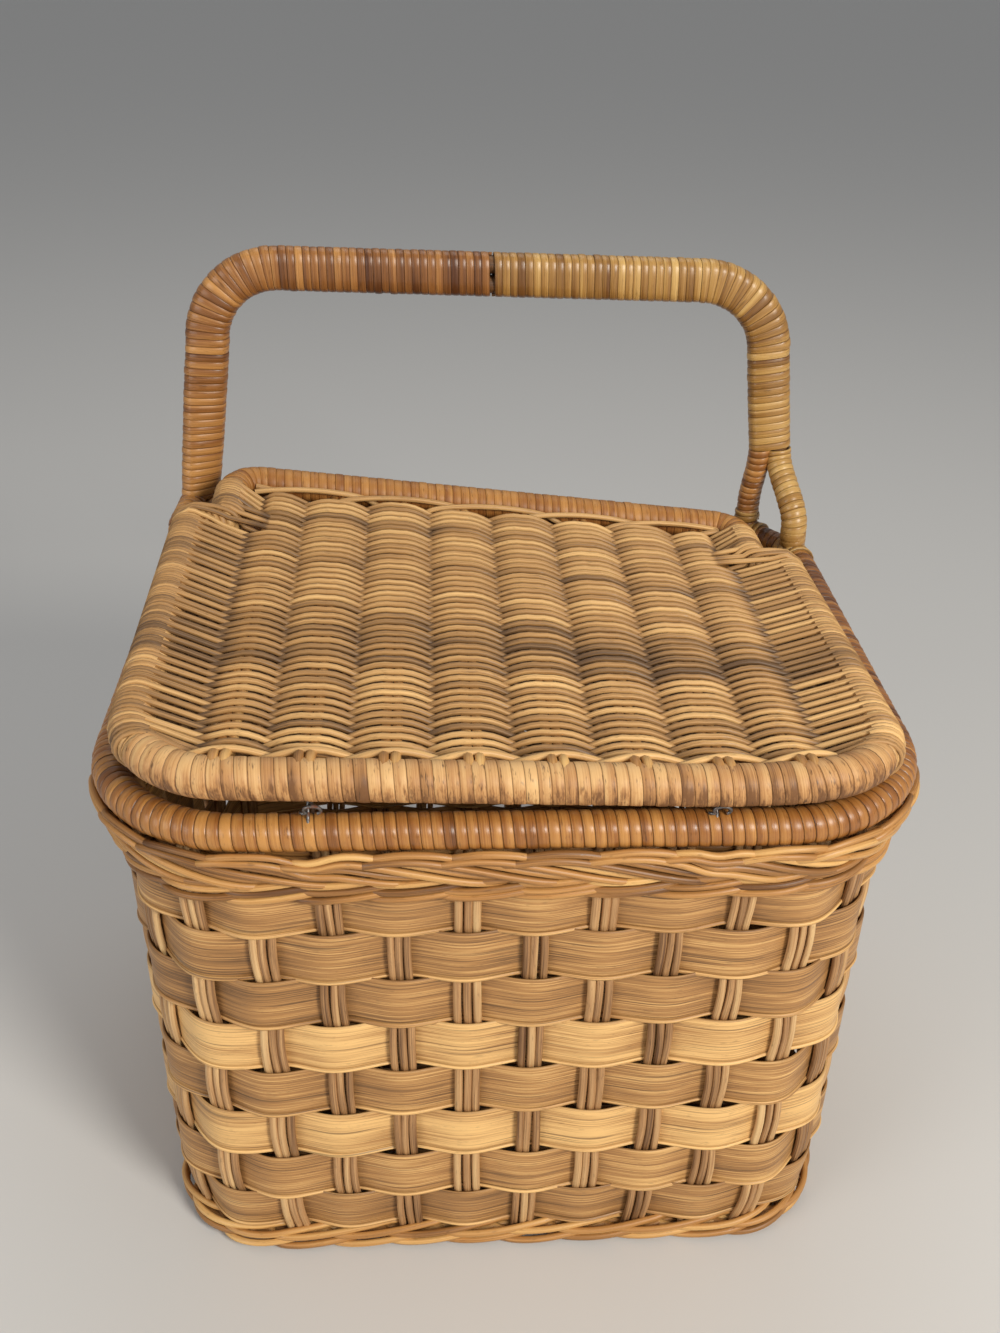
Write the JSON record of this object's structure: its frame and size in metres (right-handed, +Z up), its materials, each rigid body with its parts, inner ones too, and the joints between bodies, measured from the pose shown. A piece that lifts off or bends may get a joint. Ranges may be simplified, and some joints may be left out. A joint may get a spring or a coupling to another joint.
{
  "type": "picnic basket",
  "caption": "Rounded rectangular wicker picnic basket with a wrapped rim, a wire-hinged woven lid and a fixed cane-wrapped hoop handle at the back.",
  "frame": {"origin": "middle of the underside of the base, on the surface that the basket stands on", "axes": "+Z up, +X to the basket's right seen from its hinge side, -Y towards the hinge side, +Y towards the handle"},
  "size_m": [0.2962, 0.2693, 0.3446],
  "materials": {
    "stake_cane": "aged round cane, satin",
    "splint": "aged flat splint with fine long grain, satin",
    "border_cane": "aged round cane, satin",
    "rim_cane": "flat wrapping cane, glossy skin",
    "lid_cane": "aged round cane, dull",
    "rail_cane": "flat wrapping cane, worn pale on top",
    "bare_rod": "peeled rod under the wrap",
    "grip_cane_left": "flat wrapping cane, glossy red-brown",
    "grip_cane_right": "flat wrapping cane, glossy golden",
    "iron_wire": "dark drawn iron wire"
  },
  "bodies": {
    "basket": {"base_with_stakes": "stake_cane", "splint_row_1": "splint", "splint_row_2": "splint", "splint_row_3": "splint", "splint_row_4": "splint", "splint_row_5": "splint", "splint_row_6": "splint", "splint_row_7": "splint", "splint_row_8": "splint", "foot_wale": "border_cane", "border": "border_cane", "rim_hoop": "rim_cane", "handle_front_rod": "bare_rod", "handle_back_rod": "bare_rod", "grip_wrap_left": "grip_cane_left", "grip_wrap_right": "grip_cane_right", "leg_wrap_front_left": "grip_cane_left", "leg_wrap_front_right": "grip_cane_right", "leg_wrap_back_left": "grip_cane_left", "leg_wrap_back_right": "grip_cane_right", "foot_lashing_front_left": "grip_cane_left", "foot_lashing_front_right": "grip_cane_right", "foot_lashing_back_left": "grip_cane_left", "foot_lashing_back_right": "grip_cane_right"},
    "lid": {"lid_frame": "bare_rod", "lid_front_wrap": "rail_cane", "lid_back_wrap": "rim_cane", "lid_side_wrap_left": "lid_cane", "lid_side_wrap_right": "lid_cane", "lid_rib_1": "stake_cane", "lid_rib_2": "stake_cane", "lid_rib_3": "stake_cane", "lid_rib_4": "stake_cane", "lid_rib_5": "stake_cane", "lid_rib_6": "stake_cane", "lid_rib_7": "stake_cane", "lid_rib_8": "stake_cane", "lid_weave": "lid_cane", "hinge_wire_left": "iron_wire", "hinge_wire_right": "iron_wire"}
  },
  "joints": [
    {"name": "lid_hinge", "type": "hinge", "parent": "basket", "child": "lid", "pos_m": [0, -0.12696, 0.2095], "axis": [1, 0, 0], "range_deg": [0, 105]}
  ]
}
